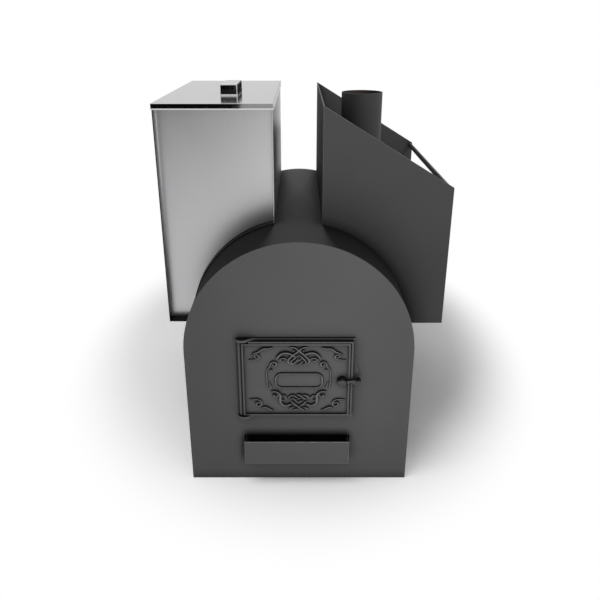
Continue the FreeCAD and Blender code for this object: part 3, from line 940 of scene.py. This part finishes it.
@dataclass
class DoorRelief(SubAssembly):
    """Cast relief of the leaf: a scrolled wreath, four corner scrolls and a blank plaque."""

    face_mm: float = -421.3
    stand_mm: float = 1.5
    bold: float = 1.2
    crest: int = 3
    raise_z_mm: float = -1.5
    wreath_axis_mm: float = -0.6
    corner_axis_mm: float = -4.4
    button_mm: float = 3.2
    button_sides: int = 14
    button_rings: int = 8
    buttons: tuple[Plane, ...] = ((-68.4, 341.2), (-12.4, 395.0), (-40.7, 254.7))
    plaque_low: Plane = (-57.7, 291.0)
    plaque_high: Plane = (58.2, 331.0)
    plaque_round_mm: float = 14.0
    plaque_round_steps: int = 8
    plaque_rise_mm: float = 0.8
    plaque_edge_mm: float = 0.5
    rim_thick_mm: float = 2.1
    rim_bends: tuple[float, ...] = (0.0, 15.0, 45.0, 75.0, 90.0)

    def wreath(self) -> list[Stroke]:
        """Returns the lines of the wreath's left half."""
        return [
            Stroke(
                ((-79.0, 342.5), (-73.5, 349.0))
                + curl((-61.2, 357.1), 9.4, 3.4, 195.0, -1.2),
                2.4, end=0.5,
            ),
            Stroke((
                (-79.0, 342.0), (-80.5, 333.0), (-80.0, 318.0), (-79.0, 299.0), (-77.6, 290.0),
            ), 1.5),
            Stroke(((-74.3, 306.9), (-72.5, 299.0), (-68.1, 290.5)), 1.9),
            Stroke((
                (-55.0, 371.0), (-53.4, 375.0), (-48.6, 382.7), (-41.6, 388.6), (-33.5, 390.3),
                (-23.2, 388.6), (-16.3, 384.7),
            ), 3.3, end=1.0, lift_mm=0.4),
            Stroke((
                (-28.5, 369.0), (-31.4, 373.6), (-38.3, 375.5), (-45.9, 372.9), (-47.1, 369.0),
                (-40.7, 365.7), (-37.2, 367.0),
            ), 2.5),
            Stroke((
                (-69.5, 279.6), (-59.4, 281.5), (-51.2, 277.5), (-46.0, 268.0), (-47.0, 257.0),
                (-46.8, 249.1), (-40.9, 242.1), (-34.6, 239.1), (-28.6, 239.7), (-24.2, 242.3),
                (-19.7, 243.2),
            ), 3.3, end=1.0, lift_mm=0.4),
            Stroke((
                (-51.0, 277.0), (-52.0, 268.0), (-58.0, 263.5), (-65.0, 266.5), (-62.0, 271.0),
                (-59.0, 268.1),
            ), 2.5),
            Stroke(((-44.2, 265.8), (-38.2, 270.5), (-33.0, 264.0), (-31.2, 257.5)), 2.5),
        ]

    def top_knot(self) -> list[Stroke]:
        """Returns the plaited bands at the wreath's head, the later ones over the earlier."""
        return [
            Stroke((
                (-22.6, 404.1), (-16.2, 404.7), (-10.4, 404.4), (-6.2, 401.5), (-0.9, 396.7),
                (6.0, 390.7), (9.7, 387.7), (14.5, 382.9), (19.3, 378.1), (24.6, 372.7),
                (26.8, 367.3), (24.2, 361.8), (18.8, 358.2), (12.4, 356.3),
            ), 2.7),
            Stroke((
                (21.3, 405.6), (14.9, 404.4), (9.1, 403.8), (4.4, 399.7), (0.1, 395.8),
                (-4.6, 391.3), (-9.9, 387.1), (-15.8, 381.7), (-21.1, 377.5), (-24.9, 372.7),
                (-27.1, 366.1), (-24.4, 360.6), (-18.6, 357.6), (-12.7, 357.6),
            ), 2.7, lift_mm=0.6),
            Stroke((
                (-23.7, 388.4), (-19.0, 386.0), (-14.2, 382.6), (-9.4, 378.7),
            ), 2.9, 0.9, lift_mm=1.3),
            Stroke((
                (0.7, 383.2), (4.4, 379.9), (8.1, 377.2), (11.8, 372.7), (15.1, 368.5),
                (18.8, 364.2), (17.2, 361.2), (13.5, 359.4), (10.3, 357.0),
            ), 2.2),
            Stroke((
                (1.2, 383.5), (-3.6, 380.8), (-8.4, 376.3), (-12.7, 372.1), (-18.0, 368.5),
                (-20.4, 364.2), (-18.6, 360.6), (-13.8, 360.3), (-9.5, 363.0), (-6.3, 366.1),
                (-4.1, 370.0), (-1.5, 372.7),
            ), 2.4, lift_mm=0.5),
            Stroke((
                (8.1, 377.2), (5.5, 373.3), (2.8, 368.5), (-0.9, 369.7), (-4.1, 365.4),
            ), 1.9, lift_mm=0.5),
            Stroke((
                (9.7, 367.9), (7.6, 364.2), (3.9, 359.7), (-0.9, 357.0), (-4.7, 357.0),
            ), 2.1, lift_mm=0.3),
        ]

    def foot_knot(self) -> list[Stroke]:
        """Returns the plaited bands at the foot of the wreath."""
        return [
            Stroke((
                (-27.3, 260.2), (-23.5, 265.9), (-18.0, 269.1), (-13.1, 269.1), (-8.7, 266.3),
                (-4.3, 262.1),
            ), 2.6),
            Stroke((
                (7.7, 265.9), (11.0, 269.1), (15.4, 269.8), (20.3, 267.8), (24.7, 264.0),
                (28.0, 259.6),
            ), 2.6),
            Stroke((
                (-4.9, 269.1), (-1.0, 272.0), (3.3, 269.8), (7.7, 265.3), (12.1, 260.8),
                (15.9, 257.0),
            ), 2.6, lift_mm=0.7),
            Stroke((
                (-21.3, 255.1), (-18.0, 259.6), (-14.2, 260.2), (-10.9, 257.3), (-7.6, 253.2),
                (-4.3, 249.3), (-0.8, 246.1),
            ), 2.3),
            Stroke((
                (20.3, 253.2), (17.1, 250.0), (13.8, 246.8), (11.0, 243.6), (6.6, 240.3),
                (2.8, 237.1),
            ), 2.4),
            Stroke((
                (-21.6, 255.7), (-18.6, 250.6), (-14.2, 247.1), (-8.8, 242.3), (-3.3, 237.8),
                (1.1, 233.9), (5.0, 230.7), (9.4, 227.4), (12.7, 224.2),
            ), 2.7, lift_mm=0.6),
            Stroke(((-4.3, 256.4), (-1.6, 259.6), (1.2, 260.8), (3.9, 259.9)), 2.0),
            Stroke(((-0.8, 246.1), (2.8, 250.0), (6.6, 254.5), (9.4, 251.3)), 2.0, lift_mm=0.4),
            Stroke(((-23.2, 224.2), (-21.5, 230.7), (-18.7, 233.2), (-13.2, 233.6)), 2.5),
            Stroke(((-14.3, 224.8), (-9.9, 227.4), (-6.6, 229.4), (-3.3, 227.1)), 2.4),
            Stroke(((11.1, 233.6), (16.0, 232.6), (19.9, 231.3), (22.1, 226.1)), 2.5),
        ]

    def top_corner(self) -> list[Stroke]:
        """Returns the lines of the upper left corner."""
        return [
            Stroke((
                (-116.0, 383.0), (-109.5, 388.5), (-101.0, 390.5), (-93.5, 397.5), (-85.6, 401.8),
                (-75.3, 400.5), (-66.0, 403.0),
            ), 2.8),
            Stroke(
                ((-123.9, 369.0), (-113.0, 370.0))
                + curl((-104.6, 379.0), 8.6, 3.4, -90.0, 1.15),
                2.3, end=0.5,
            ),
        ]

    def foot_corner(self) -> list[Stroke]:
        """Returns the lines of the lower left corner."""
        return [
            Stroke(
                ((-124.6, 256.0), (-110.0, 258.5), (-98.5, 255.0))
                + curl((-102.4, 244.0), 9.4, 3.4, 30.0, -1.15),
                2.4, end=0.5,
            ),
            Stroke((
                (-93.3, 230.8), (-88.5, 234.6), (-84.4, 234.5), (-75.8, 229.2), (-66.2, 223.8),
            ), 2.8),
        ]

    def plaque_rim(self) -> Stroke:
        """Returns the closed bead round the plaque."""
        (left, foot), (right, top) = self.plaque_low, self.plaque_high
        r = self.plaque_round_mm
        points: list[Plane] = [(0.0, foot)]
        for x, z, turn in (
            (right - r, foot + r, -90.0),
            (right - r, top - r, 0.0),
            (left + r, top - r, 90.0),
            (left + r, foot + r, 180.0),
        ):
            for bend in self.rim_bends:
                angle = math.radians(turn + bend)
                points.append((x + r * math.cos(angle), z + r * math.sin(angle)))
        points.append(points[0])
        return Stroke(tuple(points), self.rim_thick_mm, 1.0, 1.0)

    def raised(self, name: str, strokes: Sequence[Stroke], dots: Sequence[Plane] = ()) -> Piece:
        """Casts a group of lines and buttons as one piece on the leaf.

        Args:
            name: Name of the piece.
            strokes: Lines of the group.
            dots: Centres of its buttons.

        Returns:
            The placed piece.
        """
        base = self.face_mm - self.stand_mm
        paths = []
        for stroke in strokes:
            last = len(stroke.points) - 1
            path = []
            for i, (x, z) in enumerate(stroke.points):
                swell = math.sqrt(abs(math.sin(math.pi * i / last)))
                ends = stroke.start + (stroke.end - stroke.start) * i / last
                thick = self.bold * stroke.thick_mm * (ends + (1.0 - ends) * swell)
                path.append(((x, base - stroke.lift_mm * swell, z + self.raise_z_mm), thick))
            paths.append(path)
        work = tubes(name, paths)
        for x, z in dots:
            centre = Vector((x, base, z + self.raise_z_mm)) * MM
            bmesh.ops.create_uvsphere(
                work, u_segments=self.button_sides, v_segments=self.button_rings,
                radius=self.button_mm * MM, matrix=Matrix.Translation(centre),
            )
        # Front-facing faces count as worn: their paler tone is rubbed paint and partly a painted
        # highlight on the crests.
        wear_and_painted_light = work.faces.layers.float.new(WEAR_AND_PAINTED_LIGHT)
        for face in work.faces:
            face[wear_and_painted_light] = max(0.0, -face.normal.y) ** self.crest
        return self.placed(work, name, Slot.CAST_IRON, [CAST_PAINT])

    def plaque(self) -> Piece:
        """Returns the raised blank field in the middle of the wreath."""
        low, high = (
            (x * MM, (z + self.raise_z_mm) * MM) for x, z in (self.plaque_low, self.plaque_high)
        )
        work = upright_sheet(low, high, self.face_mm * MM)
        rounded(work, work.verts, self.plaque_round_mm, self.plaque_round_steps, corners=True)
        field = bmesh.ops.extrude_face_region(work, geom=work.faces[:])["geom"]
        moved = [part for part in field if isinstance(part, bmesh.types.BMVert)]
        rise = Vector((0.0, -self.plaque_rise_mm * MM, 0.0))
        bmesh.ops.translate(work, vec=rise, verts=moved)
        bmesh.ops.recalc_face_normals(work, faces=work.faces)
        soften(work, self.plaque_edge_mm)
        return self.placed(work, "plaque_field", Slot.CAST_IRON, [CAST_PAINT])

    def build(self) -> Iterator[Piece]:
        """Yields the wreath, the corners and the plaque."""
        half, axis = self.wreath(), self.wreath_axis_mm
        yield self.raised("wreath_relief_left", half, self.buttons)
        yield self.raised(
            "wreath_relief_right",
            [line.mirrored(axis) for line in half],
            [(2 * axis - x, z) for x, z in self.buttons],
        )
        yield self.raised("wreath_knot_top", self.top_knot())
        yield self.raised("wreath_knot_foot", self.foot_knot())
        for name, lines in (("top", self.top_corner()), ("foot", self.foot_corner())):
            others = [line.mirrored(self.corner_axis_mm) for line in lines]
            yield self.raised(f"corner_scroll_{name}_left", lines)
            yield self.raised(f"corner_scroll_{name}_right", others)
        yield self.plaque()
        yield self.raised("plaque_rim", [self.plaque_rim()])


@dataclass
class Latch(SubAssembly):
    """Turning latch: boss, arm, round-nosed knob and spindle."""

    axis: Plane = (107.5, 309.4)
    boss_rim_mm: Plane = (9.0, 14.4)
    boss_level_mm: float = 0.01
    boss_round_mm: float = 6.8
    boss_round_steps: int = 7
    boss_edge_mm: float = 0.4
    arm_edge_mm: float = 1.6
    arm_steps: int = 4
    turned_edge_mm: float = 0.5

    def boss(self) -> Piece:
        """Returns the boss with its domed front."""
        work = merged_copy("latch_boss")
        front = min(vert.co.y for vert in work.verts)
        middle = Vector((self.axis[0] * MM, front, self.axis[1] * MM))
        least, most = self.boss_rim_mm
        rim = [
            edge for edge in work.edges
            if all(
                least < (vert.co - middle).length / MM < most
                and vert.co.y - front < self.boss_level_mm * MM
                for vert in edge.verts
            )
        ]
        rounded(work, rim, self.boss_round_mm, self.boss_round_steps)
        soften(work, self.boss_edge_mm)
        name = "latch_boss_finished"
        return self.placed(work, name, Slot.CAST_IRON, [HANDLED_PAINT], "latch_boss")

    def build(self) -> Iterator[Piece]:
        """Yields the latch's pieces."""
        yield self.boss()
        yield self.dressed(
            "latch_arm", HANDLED_PAINT, Slot.CAST_IRON, self.arm_edge_mm, self.arm_steps
        )
        for node in ("latch_knob", "latch_spindle"):
            yield self.dressed(node, HANDLED_PAINT, Slot.BRIGHT_STEEL, self.turned_edge_mm)


@dataclass
class AshDrawer(SubAssembly):
    """Folded ash tray with its front."""

    front_edge_mm: float = 0.8
    tray_edge_mm: float = 0.5

    def build(self) -> Iterator[Piece]:
        """Yields the front and the tray."""
        yield self.dressed("ash_drawer_front", HEAT_PAINT, Slot.HEAT_PAINT, self.front_edge_mm)
        yield self.dressed("ash_drawer_box", BURNT_IRON, Slot.HEAT_PAINT, self.tray_edge_mm)


@dataclass
class WaterTank(SubAssembly):
    """Saddle-shaped stainless water tank beside the arch."""

    sheet_mm: float = 2.1
    wall_edge_mm: float = 0.3
    panel_edge_mm: float = 0.4
    saddle_edge_mm: float = 0.6
    bracket_edge_mm: float = 0.8
    shaded_to_mm: float = -219.0
    inward: float = 0.9
    corners: Sequence[Plane] = ((-347.2, -208.6), (-64.8, -208.6), (-347.2, 380.6), (-64.8, 380.6))
    seam_mm: float = 1.5
    seam_foot_mm: Plane = (390.0, 672.0)
    seam_top_mm: float = 936.0
    ripple_mm: float = 6.0
    ripple_dip: float = 0.15

    def outer_wall(self) -> Piece:
        """Returns the outer wall; in front of the panel, its faces that look across the recess are
        near-black, a painted shade.
        """
        work = merged_copy("tank_outer_wall")
        front = self.shaded_to_mm * MM
        bmesh.ops.bisect_plane(
            work, geom=work.verts[:] + work.edges[:] + work.faces[:],
            plane_co=(0.0, front, 0.0), plane_no=(0.0, 1.0, 0.0),
        )
        soften(work, self.wall_edge_mm, narrow_mm=self.sheet_mm)
        # Painted shade: faces that look into the panel's recess take the near-black edge tone.
        wear_and_painted_light = work.faces.layers.float[WEAR_AND_PAINTED_LIGHT]
        for face in work.faces:
            if face.normal.x > self.inward and face.calc_center_median().y < front:
                face[wear_and_painted_light] = 1.0
        name = "tank_outer_wall_finished"
        return self.placed(work, name, Slot.STAINLESS, [SATIN_STAINLESS], "tank_outer_wall")

    def seams(self) -> Piece:
        """Returns the rippled weld seams in the corners of the walls and the panels."""
        thick = (self.seam_mm, self.seam_mm * (1.0 - self.ripple_dip))
        paths = []
        for i, (x, y) in enumerate(self.corners):
            foot = self.seam_foot_mm[i % 2]
            steps = int((self.seam_top_mm - foot) / self.ripple_mm)
            paths.append([
                ((x, y, foot + self.ripple_mm * step), thick[step % 2]) for step in range(steps)
            ])
        work = tubes("tank_panel_seams", paths)
        work.faces.layers.float.new(WEAR_AND_PAINTED_LIGHT)
        return self.placed(work, "tank_panel_seams", Slot.STAINLESS, [TRIM_STAINLESS])

    def build(self) -> Iterator[Piece]:
        """Yields the walls, the panels, the outlet and the brackets."""
        yield self.outer_wall()
        yield self.seams()
        for node, sheet, edge in (
            ("tank_inner_wall", TRIM_STAINLESS, self.panel_edge_mm),
            ("tank_front_panel", PANEL_STAINLESS, self.panel_edge_mm),
            ("tank_back_panel", PANEL_STAINLESS, self.panel_edge_mm),
            ("tank_saddle", TINTED_AND_SHADED_STAINLESS, self.saddle_edge_mm),
            ("tank_floor", TINTED_AND_SHADED_STAINLESS, self.saddle_edge_mm),
            ("tank_outlet_socket", SATIN_STAINLESS, self.saddle_edge_mm),
        ):
            yield self.dressed(node, sheet, Slot.STAINLESS, edge)
        for node in ("tank_bracket_front", "tank_bracket_back"):
            yield self.dressed(node, HEAT_PAINT, Slot.HEAT_PAINT, self.bracket_edge_mm)


@dataclass
class TankLid(SubAssembly):
    """Lift-off lid with a rolled hem, and its folded grip."""

    lid_low: Spot = (-352.6, -240.6, 939.5)
    lid_high: Spot = (-59.4, 412.6, 954.0)
    lid_fold_mm: float = 1.2
    lid_hem: Spot = (0.6, 0.1, 3.8)
    lid_top: float = 0.98
    grip_low: Spot = (-206.5, -65.0, 954.0)
    grip_high: Spot = (-159.5, 79.0, 982.0)
    grip_fold_mm: float = 2.2
    grip_hem: Spot = (0.9, 2.3, 3.2)
    grip_crease_deg: float = 15.0
    sheet_mm: float = 0.8
    fold_steps: int = 7
    hem_foot: Plane = (0.4, 0.8)

    def folded(self, least: Spot, greatest: Spot, fold_mm: float, hem: Spot) -> Mesh:
        """Folds a sheet box that is open below and has a rolled hem round its foot.

        Args:
            least: Least corner of the whole box, in millimetres.
            greatest: Greatest corner.
            fold_mm: Radius of the folds.
            hem: How far the hem steps out, how far it slopes down there and how tall it is.

        Returns:
            The closed sheet.
        """
        out, down, tall = hem
        inset, drop = self.hem_foot
        low = Vector(least) + Vector((out, out, tall))
        high = Vector(greatest) - Vector((out, out, 0.0))
        middle = (low + high) / 2 * MM
        grown = Matrix.Diagonal((*((high - low) * MM), 1.0))
        work = bmesh.new()
        bmesh.ops.create_cube(work, size=1.0, matrix=Matrix.Translation(middle) @ grown)
        under = min(work.faces, key=lambda face: face.normal.z)
        bmesh.ops.delete(work, geom=[under], context="FACES_ONLY")
        rounded(work, [e for e in work.edges if e.is_manifold], fold_mm, self.fold_steps)
        loop = [edge for edge in work.edges if edge.is_boundary]
        for step, up in (
            (out, -down),
            (0.0, down + drop - tall),
            (-inset, -drop),
            (inset - out - self.sheet_mm, 0.0),
            (0.0, greatest[2] - least[2] - self.sheet_mm),
        ):
            made = bmesh.ops.extrude_edge_only(work, edges=loop)["geom"]
            loop = [part for part in made if isinstance(part, bmesh.types.BMEdge)]
            for vert in (part for part in made if isinstance(part, bmesh.types.BMVert)):
                x, y = (math.copysign(1.0, away) * step for away in (vert.co - middle).xy)
                vert.co += Vector((x, y, up)) * MM
        bmesh.ops.contextual_create(work, geom=loop)
        bmesh.ops.recalc_face_normals(work, faces=work.faces)
        return work

    def lid(self) -> Piece:
        """Returns the lid with its hazed top and bright skirt."""
        work = self.folded(self.lid_low, self.lid_high, self.lid_fold_mm, self.lid_hem)
        for face in work.faces:
            face.material_index = int(face.normal.z > self.lid_top)
        finishes = [BRIGHT_STAINLESS, HAZED_STAINLESS]
        return self.placed(work, "tank_lid_finished", Slot.STAINLESS, finishes, "tank_lid")

    def grip(self) -> Piece:
        """Returns the grip, folded from the same sheet."""
        work = self.folded(self.grip_low, self.grip_high, self.grip_fold_mm, self.grip_hem)
        return self.placed(
            work, "lid_grip_finished", Slot.STAINLESS, [BRIGHT_STAINLESS], "lid_grip",
            crease_deg=self.grip_crease_deg,
        )

    def build(self) -> Iterator[Piece]:
        """Yields the lid and the grip."""
        yield self.lid()
        yield self.grip()


@dataclass
class StoneHopper(SubAssembly):
    """Open hopper for the stones round the flue."""

    sheet_mm: float = 5.1
    edge_mm: float = 0.7

    def build(self) -> Iterator[Piece]:
        """Yields the sheets and the side bars."""
        for node, paint in (
            ("hopper_front", HOPPER_PAINT),
            ("hopper_inner_wall", HOPPER_PAINT),
            ("hopper_floor", HOPPER_PAINT),
            ("hopper_side_strips", HOPPER_PAINT),
            ("hopper_back", HEAT_PAINT),
            ("hopper_top_rail", HEAT_PAINT),
        ):
            yield self.dressed(
                node, paint, Slot.HEAT_PAINT, self.edge_mm, narrow_mm=self.sheet_mm
            )


@dataclass(frozen=True)
class Softbox:
    """One soft lamp: its place, target, size and level, and what flags keep its light off or on."""

    name: str
    place: Spot
    target: Spot
    width: float
    height: float
    level: float
    flagged: tuple[str, ...]
    kept_off: bool = False

    def hang(self) -> None:
        """Makes the lamp; level 1 shows a facing surface at its written colour."""
        reach = Vector(self.target) - Vector(self.place)
        lamp = bpy.data.lights.new(self.name, "AREA")
        lamp.shape = "RECTANGLE"
        lamp.size = self.width
        lamp.size_y = self.height
        lamp.energy = self.level * math.pi ** 2 * reach.length_squared
        holder = shown(self.name, lamp)
        holder.location = self.place
        holder.rotation_euler = reach.to_track_quat("-Z", "Y").to_euler()
        holder.visible_camera = False
        holder.visible_glossy = False
        flags = bpy.data.collections.new(f"{self.name}_flags")
        for name in self.flagged:
            flags.objects.link(bpy.data.objects[name])
        for linked in flags.collection_objects:
            linked.light_linking.link_state = "EXCLUDE" if self.kept_off else "INCLUDE"
        holder.light_linking.receiver_collection = flags


@dataclass(frozen=True)
class MirrorCard:
    """Standing card that only mirrors see, so that polished sheet has dark and light sides."""

    name: str
    low: Plane
    high: Plane
    depth: float
    grey: float

    def stand(self) -> None:
        """Stands the card up across the view."""
        mesh = mesh_data(upright_sheet(self.low, self.high, self.depth), self.name)
        mesh.materials.append(self.glowing_face())
        card = shown(self.name, mesh)
        card.visible_camera = False
        card.visible_diffuse = False
        card.visible_shadow = False
        card.visible_transmission = False

    def glowing_face(self) -> bpy.types.Material:
        """Returns the card's glow, as strong as its grey."""
        material, tree = blank_material(f"{self.name}_felt")
        glow = add(tree, "Emission", {"Strength": self.grey})
        add(tree, "OutputMaterial", links={"Surface": glow.outputs["Emission"]})
        return material


GROUND, ROOF, PIPE = "studio_floor", "arch_roof_finished", "flue_pipe_finished"
HOPPER_BACK = "hopper_back_finished"
LAMPS = (
    # Near strip: models the door and the front plate.
    Softbox(
        "front_strip", (0.13, -1.0, 0.50), (0.09, -0.41, 0.49),
        width=0.2, height=0.95, level=1.02, flagged=(GROUND,), kept_off=True,
    ),
    # Far lamp: grades the roof from the back to the front.
    Softbox(
        "back_softbox", (0.0, 8.0, 5.0), (0.0, 0.0, 0.66),
        width=3.4, height=1.6, level=6.6, flagged=(ROOF,),
    ),
    # High lamp: throws the floor's soft shadow to the right.
    Softbox(
        "left_softbox", (-0.8, -1.1, 2.5), (0.0, 0.0, 0.2),
        width=1.6, height=1.6, level=0.34, flagged=(ROOF, PIPE), kept_off=True,
    ),
    # Small lamp: rounds the flue.
    Softbox(
        "right_softbox", (1.6, -0.9, 2.2), (0.18, 0.08, 0.85),
        width=0.6, height=0.6, level=0.30, flagged=(PIPE, HOPPER_BACK),
    ),
    # Weak fills: open up the inside of the hopper and the back.
    Softbox(
        "right_fill", (4.0, 0.2, 1.3), (0.29, 0.0, 0.5), width=1.5, height=1.5, level=0.15,
        flagged=(
            "hopper_side_strips_finished", "hopper_inner_wall_finished", "hopper_floor_finished",
        ),
    ),
    Softbox(
        "back_fill", (0.3, 4.0, 1.3), (0.0, 0.41, 0.4),
        width=1.5, height=1.5, level=0.25, flagged=("back_plate_finished", HOPPER_BACK),
    ),
)
# Dark, grey and white bands in front, and a pale wall with dark bands behind, which give the lid,
# the grip and the tank's panel their light and dark sides.
CARDS = (
    MirrorCard("front_black_card", (-7.0, 0.0), (-0.61, 3.5), -5.5, 0.004),
    MirrorCard("front_grey_card", (-0.61, 0.24), (0.2, 0.44), -5.5, 0.42),
    MirrorCard("back_card", (-6.0, 0.0), (6.0, 5.0), 5.6, 0.74),
    MirrorCard("front_white_card", (-0.05, 0.0), (1.2, 0.45), -3.0, 2.6),
    MirrorCard("front_high_card", (-0.61, 0.9), (-0.2, 3.5), -5.5, 0.004),
    MirrorCard("grip_card", (0.08, 0.9), (2.0, 3.0), 5.5, 0.004),
    MirrorCard("side_card", (0.0, 0.0), (0.4, 0.59), 2.0, 0.02),
)


@dataclass
class Studio:
    """Pale floor, white surround, soft lamps and the camera."""

    focal_px: float = 644.14
    frame_px: float = 600.0
    sensor_mm: float = 36.0
    pitch_deg: float = 23.308
    eye_mm: Spot = (2.8, -1819.45, 1129.6)
    reach: float = 100.0
    ambient: float = 0.30
    white: str = "#ffffff"
    pale: str = "#f2f2f2"
    floor_gain: float = 1.6
    floor_radius: float = 14.0
    floor_sides: int = 96
    floor_middle: Spot = (0.0, 0.45, 0.0)
    floor_pull: Spot = (1.176, 0.833, 0.0)
    fade: Plane = (0.66, 1.0)

    def camera(self) -> None:
        """Sets the camera at the photograph's viewpoint."""
        data = bpy.data.cameras.new("viewpoint")
        data.sensor_width = self.sensor_mm
        data.lens = self.focal_px / self.frame_px * self.sensor_mm
        data.clip_end = self.reach
        holder = shown("viewpoint", data)
        holder.location = Vector(self.eye_mm) * MM
        holder.rotation_euler = (math.radians(90.0 - self.pitch_deg), 0.0, 0.0)
        bpy.context.scene.camera = holder

    def seen(self, tree: Tree) -> Socket:
        """One for camera, glossy and transmission rays, nought for the rest.

        Args:
            tree: Node tree that takes the nodes.

        Returns:
            The socket that carries the mask.
        """
        path = add(tree, "LightPath").outputs
        mask = path["Is Camera Ray"]
        for ray in ("Is Glossy Ray", "Is Transmission Ray"):
            either = add(tree, "Math", {"operation": "MAXIMUM"}, {0: mask, 1: path[ray]})
            mask = either.outputs["Value"]
        return mask

    def surround(self) -> None:
        """White world for the eye and for reflections, dim for diffuse light."""
        world = bpy.data.worlds.new("white_surround")
        world.use_nodes = True
        tree = world.node_tree
        tree.nodes.clear()
        span = {"To Min": self.ambient, "To Max": 1.0}
        level = add(tree, "MapRange", span, {"Value": self.seen(tree)}).outputs["Result"]
        sky = add(tree, "Background", {"Color": linear(self.white)}, {"Strength": level})
        add(tree, "OutputWorld", links={"Surface": sky.outputs["Background"]})
        bpy.context.scene.world = world

    def floor_material(self) -> bpy.types.Material:
        """Returns a pale matt floor that keeps the near shadow and fades to white far off."""
        material, tree = blank_material("pale_matt_floor")
        near, far = self.fade
        fade = add(
            tree, "MapRange",
            {"interpolation_type": "SMOOTHSTEP", "From Min": near, "From Max": far},
            {"Value": box_distance(tree, self.floor_middle, NOUGHT, self.floor_pull)},
        )
        seen = self.seen(tree)
        share = add(tree, "Math", {"operation": "MULTIPLY"}, {0: fade.outputs["Result"], 1: seen})
        pale = linear(self.pale)
        bright = tuple(part * self.floor_gain for part in pale[:3]) + (1.0,)
        tint = add(tree, "Mix", {"data_type": "RGBA", 6: pale, 7: bright}, {0: seen})
        matt = add(tree, "BsdfDiffuse", links={"Color": tint.outputs[2]})
        glow = add(tree, "Emission", {"Color": linear(self.white), "Strength": 1.0})
        both = add(
            tree, "MixShader",
            links={0: share.outputs["Value"], 1: matt.outputs["BSDF"], 2: glow.outputs["Emission"]},
        )
        add(tree, "OutputMaterial", links={"Surface": both.outputs["Shader"]})
        return material

    def floor(self) -> None:
        """Lays the round floor."""
        work = bmesh.new()
        bmesh.ops.create_circle(
            work, cap_ends=True, segments=self.floor_sides, radius=self.floor_radius
        )
        mesh = mesh_data(work, GROUND)
        mesh.materials.append(self.floor_material())
        ground = shown(GROUND, mesh)

    def build(self) -> None:
        """Sets up the whole studio."""
        bpy.context.scene.view_settings.view_transform = "Standard"
        self.camera()
        self.surround()
        self.floor()
        for lamp in LAMPS:
            lamp.hang()
        for card in CARDS:
            card.stand()


def main() -> None:
    """Builds every sub-assembly in order and reports its pieces."""
    logging.basicConfig(level=logging.INFO, format="%(name)s: %(message)s")
    assemblies: Sequence[SubAssembly] = (
        Firebox("stove"),
        Flue("stove"),
        DoorFrame("stove"),
        FireDoor("fire_door"),
        DoorRelief("fire_door"),
        Latch("latch"),
        AshDrawer("ash_drawer"),
        WaterTank("stove"),
        TankLid("tank_lid"),
        StoneHopper("stove"),
    )
    for assembly in assemblies:
        for piece in assembly.build():
            LOG.info("%s: %s", type(assembly).__name__, piece.name)
    Studio().build()


if __name__ == "__main__":
    main()
